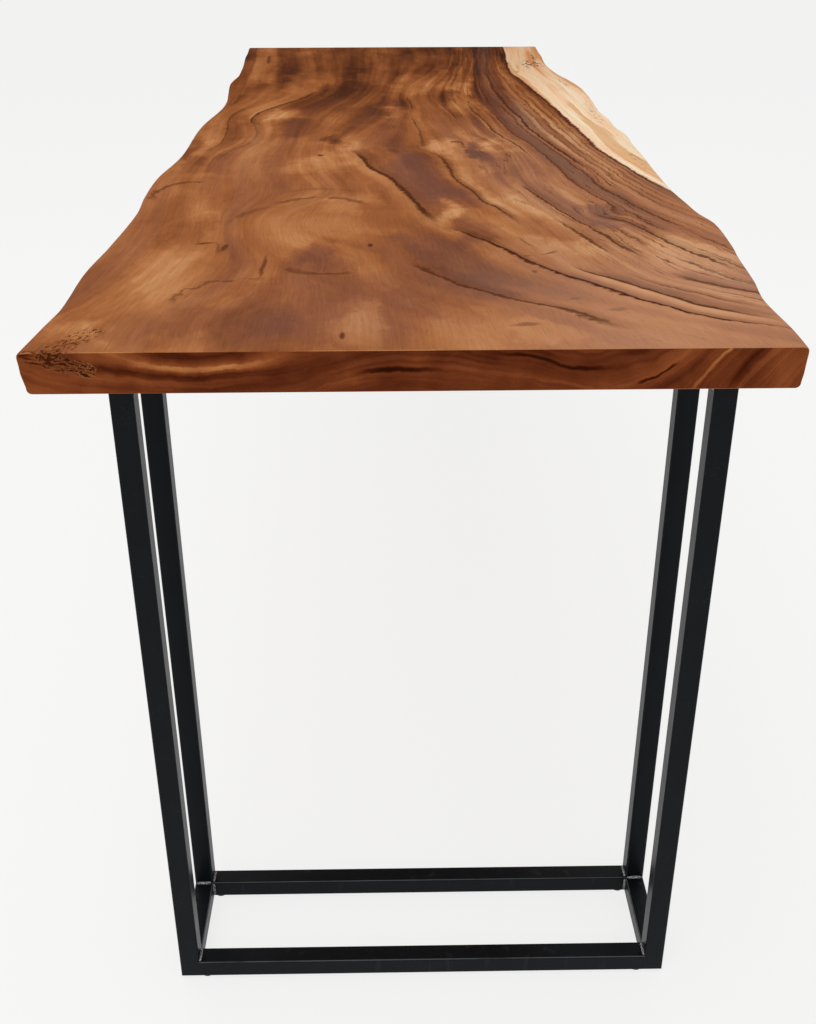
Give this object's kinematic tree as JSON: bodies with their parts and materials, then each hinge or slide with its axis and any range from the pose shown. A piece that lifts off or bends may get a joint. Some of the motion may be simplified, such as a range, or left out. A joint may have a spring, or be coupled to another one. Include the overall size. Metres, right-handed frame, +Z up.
{
  "type": "bar table",
  "caption": "Tall rectangular table: a thick live-edge solid wood slab bolted onto welded double box-tube leg frames that stand on levelling glides.",
  "frame": {"origin": "on the floor, under the middle of the slab", "axes": "+X right across the table, +Y along the table from its near end to its far end, +Z up"},
  "size_m": [0.9769, 3, 1.07],
  "materials": {
    "oiled_hardwood": "satin oiled tropical hardwood",
    "black_powder_coat": "satin black powder coat on steel",
    "zinc_plated_steel": "bright zinc plating",
    "black_nylon": "moulded nylon"
  },
  "bodies": {
    "table": {"live_edge_slab": "oiled_hardwood", "front_outer_left_post": "black_powder_coat", "front_outer_right_post": "black_powder_coat", "front_inner_left_post": "black_powder_coat", "front_inner_right_post": "black_powder_coat", "front_outer_base_rail": "black_powder_coat", "front_outer_top_rail": "black_powder_coat", "front_inner_base_rail": "black_powder_coat", "front_inner_top_rail": "black_powder_coat", "front_left_base_tie": "black_powder_coat", "front_left_top_tie": "black_powder_coat", "front_left_mounting_plate": "black_powder_coat", "front_right_base_tie": "black_powder_coat", "front_right_top_tie": "black_powder_coat", "front_right_mounting_plate": "black_powder_coat", "front_weld_beads": "black_powder_coat", "front_slab_bolts": "zinc_plated_steel", "front_bolt_washers": "zinc_plated_steel", "front_slab_inserts": "zinc_plated_steel", "front_glide_inserts": "zinc_plated_steel", "back_outer_left_post": "black_powder_coat", "back_outer_right_post": "black_powder_coat", "back_inner_left_post": "black_powder_coat", "back_inner_right_post": "black_powder_coat", "back_outer_base_rail": "black_powder_coat", "back_outer_top_rail": "black_powder_coat", "back_inner_base_rail": "black_powder_coat", "back_inner_top_rail": "black_powder_coat", "back_left_base_tie": "black_powder_coat", "back_left_top_tie": "black_powder_coat", "back_left_mounting_plate": "black_powder_coat", "back_right_base_tie": "black_powder_coat", "back_right_top_tie": "black_powder_coat", "back_right_mounting_plate": "black_powder_coat", "back_weld_beads": "black_powder_coat", "back_slab_bolts": "zinc_plated_steel", "back_bolt_washers": "zinc_plated_steel", "back_slab_inserts": "zinc_plated_steel", "back_glide_inserts": "zinc_plated_steel"},
    "front_outer_left_glide": {"front_outer_left_glide_pad": "black_nylon", "front_outer_left_glide_stud": "zinc_plated_steel"},
    "front_outer_right_glide": {"front_outer_right_glide_pad": "black_nylon", "front_outer_right_glide_stud": "zinc_plated_steel"},
    "front_inner_left_glide": {"front_inner_left_glide_pad": "black_nylon", "front_inner_left_glide_stud": "zinc_plated_steel"},
    "front_inner_right_glide": {"front_inner_right_glide_pad": "black_nylon", "front_inner_right_glide_stud": "zinc_plated_steel"},
    "back_outer_left_glide": {"back_outer_left_glide_pad": "black_nylon", "back_outer_left_glide_stud": "zinc_plated_steel"},
    "back_outer_right_glide": {"back_outer_right_glide_pad": "black_nylon", "back_outer_right_glide_stud": "zinc_plated_steel"},
    "back_inner_left_glide": {"back_inner_left_glide_pad": "black_nylon", "back_inner_left_glide_stud": "zinc_plated_steel"},
    "back_inner_right_glide": {"back_inner_right_glide_pad": "black_nylon", "back_inner_right_glide_stud": "zinc_plated_steel"}
  },
  "joints": [
    {"name": "front_outer_left_glide_travel", "type": "slide", "parent": "table", "child": "front_outer_left_glide", "axis": [0, 0, -1], "range_m": [0, 0.012]},
    {"name": "front_outer_right_glide_travel", "type": "slide", "parent": "table", "child": "front_outer_right_glide", "axis": [0, 0, -1], "range_m": [0, 0.012]},
    {"name": "front_inner_left_glide_travel", "type": "slide", "parent": "table", "child": "front_inner_left_glide", "axis": [0, 0, -1], "range_m": [0, 0.012]},
    {"name": "front_inner_right_glide_travel", "type": "slide", "parent": "table", "child": "front_inner_right_glide", "axis": [0, 0, -1], "range_m": [0, 0.012]},
    {"name": "back_outer_left_glide_travel", "type": "slide", "parent": "table", "child": "back_outer_left_glide", "axis": [0, 0, -1], "range_m": [0, 0.012]},
    {"name": "back_outer_right_glide_travel", "type": "slide", "parent": "table", "child": "back_outer_right_glide", "axis": [0, 0, -1], "range_m": [0, 0.012]},
    {"name": "back_inner_left_glide_travel", "type": "slide", "parent": "table", "child": "back_inner_left_glide", "axis": [0, 0, -1], "range_m": [0, 0.012]},
    {"name": "back_inner_right_glide_travel", "type": "slide", "parent": "table", "child": "back_inner_right_glide", "axis": [0, 0, -1], "range_m": [0, 0.012]}
  ]
}
